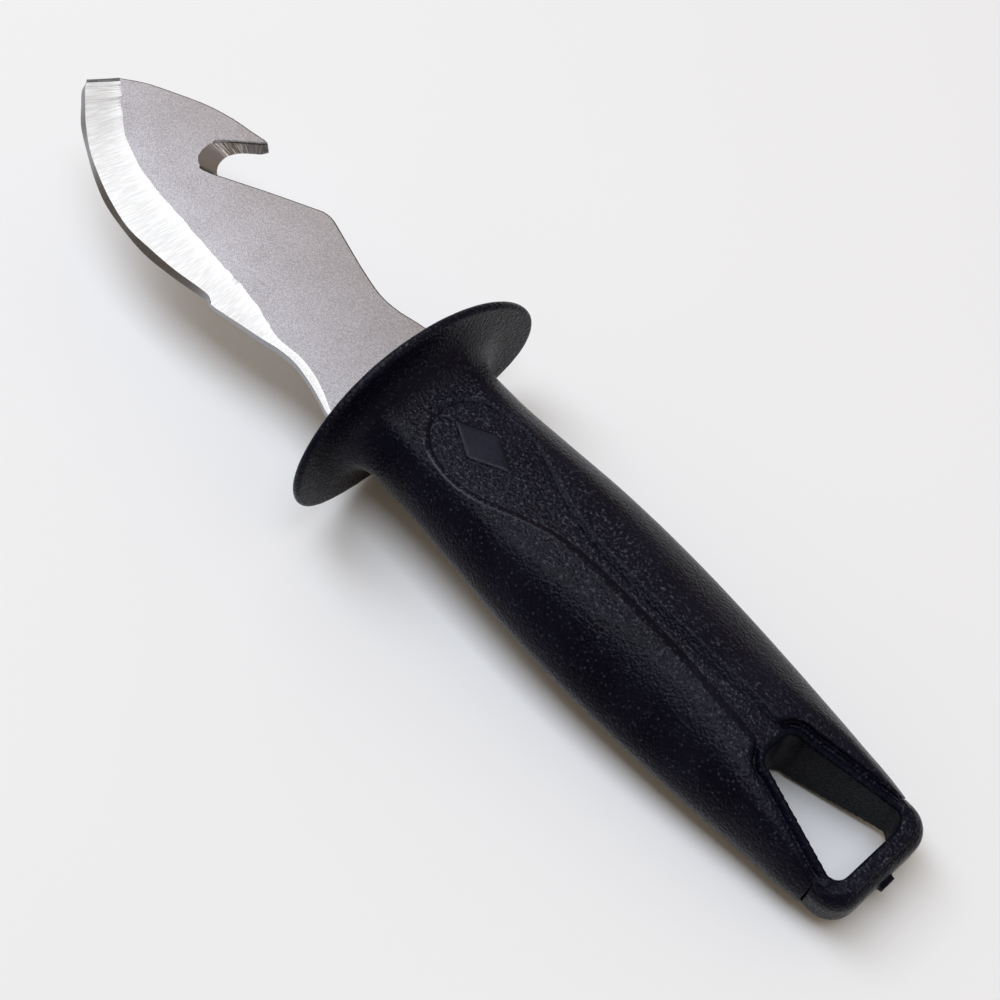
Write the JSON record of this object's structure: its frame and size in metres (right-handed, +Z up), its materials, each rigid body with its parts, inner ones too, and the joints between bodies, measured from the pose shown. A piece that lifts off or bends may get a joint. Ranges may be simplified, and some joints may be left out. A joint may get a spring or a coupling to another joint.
{
  "type": "hooked work knife with moulded handle",
  "caption": "Short belly-edged knife with a ground hook notch in its spine, oval hand guard, soft moulded grip and a lanyard loop at the butt.",
  "frame": {"origin": "on the ground under the middle of the knife's box as it lies at rest on the guard's lower rim and the belly of the grip", "axes": "+X towards the blade's tip, +Y towards the cutting edge, +Z up. The knife's own axis is raised 5.59 degrees from +X, so the tip is clear of the ground"},
  "size_m": [0.19, 0.0498, 0.0322],
  "materials": {
    "blade_steel": "satin ground flats, coarse bright grind on the bevel",
    "core_plastic": "fine spark-eroded grain, near black",
    "grip_rubber": "fine spark-eroded grain, near black, slight sheen"
  },
  "bodies": {
    "root": {"blade": "blade_steel", "handle_core": "core_plastic", "grip_with_guard": "grip_rubber"}
  },
  "joints": []
}
